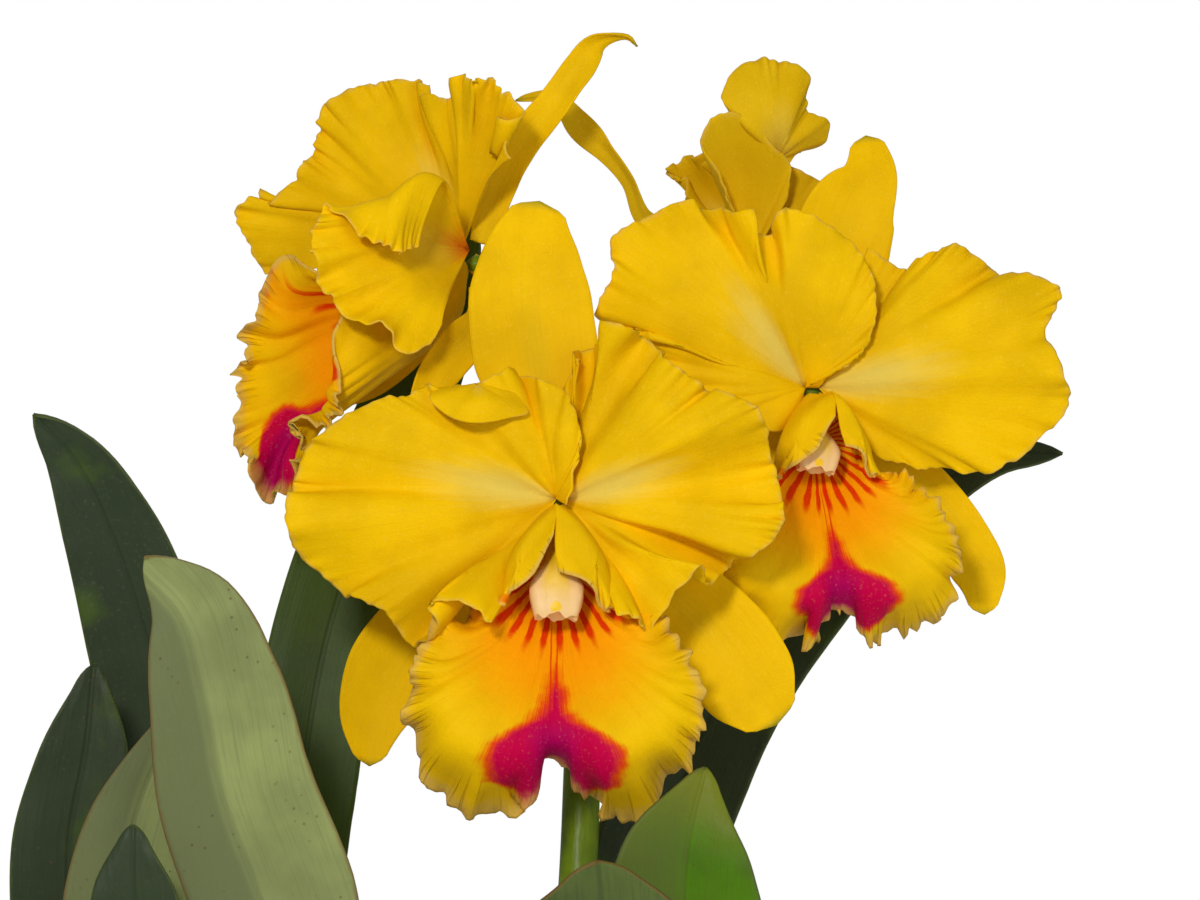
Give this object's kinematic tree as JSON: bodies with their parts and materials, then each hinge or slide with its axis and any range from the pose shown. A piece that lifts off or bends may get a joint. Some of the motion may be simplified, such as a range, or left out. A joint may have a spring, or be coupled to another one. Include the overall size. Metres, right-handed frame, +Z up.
{
  "type": "cattleya orchid",
  "caption": "Cattleya orchid in bloom: ruffled yellow flowers with red-marked lips on one stem, strap leaves on club-shaped pseudobulbs, in a plain clay pot of bark.",
  "frame": {"origin": "centre of the underside of the pot's base", "axes": "+Z up, -Y towards the viewer that the front bloom faces, +X to the viewer's right"},
  "size_m": [0.2986, 0.2127, 0.5171],
  "materials": {
    "petal": "soft yellow petal with fine sparkling cells",
    "lip": "yellow to orange lip with red stripes and a magenta patch",
    "column": "waxy cream",
    "leaf": "dark green, leathery, slightly glossy",
    "pale_leaf": "pale grey-green, leathery, matt",
    "stem": "smooth green stalk",
    "bulb": "green pseudobulb with papery sheaths",
    "bark": "damp fir bark chips",
    "clay": "unglazed fired clay with pale bloom"
  },
  "bodies": {
    "root": {"pot": "clay", "bark": "bark", "rhizome_and_pseudobulbs": "bulb", "flower_stem": "stem", "stem_sheath": "pale_leaf", "leaf_far_left": "leaf", "leaf_left": "leaf", "leaf_pale_front": "pale_leaf", "leaf_pale_rear": "pale_leaf", "leaf_small_front": "leaf", "leaf_behind": "leaf", "leaf_arching": "leaf", "leaf_front_right": "leaf", "leaf_front_low": "leaf", "front_dorsal_sepal": "petal", "front_left_sepal": "petal", "front_right_sepal": "petal", "front_left_petal": "petal", "front_right_petal": "petal", "front_lip": "lip", "front_column": "column", "right_dorsal_sepal": "petal", "right_left_sepal": "petal", "right_right_sepal": "petal", "right_left_petal": "petal", "right_right_petal": "petal", "right_lip": "lip", "right_column": "column", "left_dorsal_sepal": "petal", "left_near_sepal": "petal", "left_far_sepal": "petal", "left_near_petal": "petal", "left_far_petal": "petal", "left_lip": "lip", "left_column": "column", "rear_left_sepal": "petal", "rear_right_sepal": "petal", "rear_lower_sepal": "petal", "rear_left_petal": "petal", "rear_right_petal": "petal", "rear_lip": "lip", "rear_column": "column"}
  },
  "joints": []
}
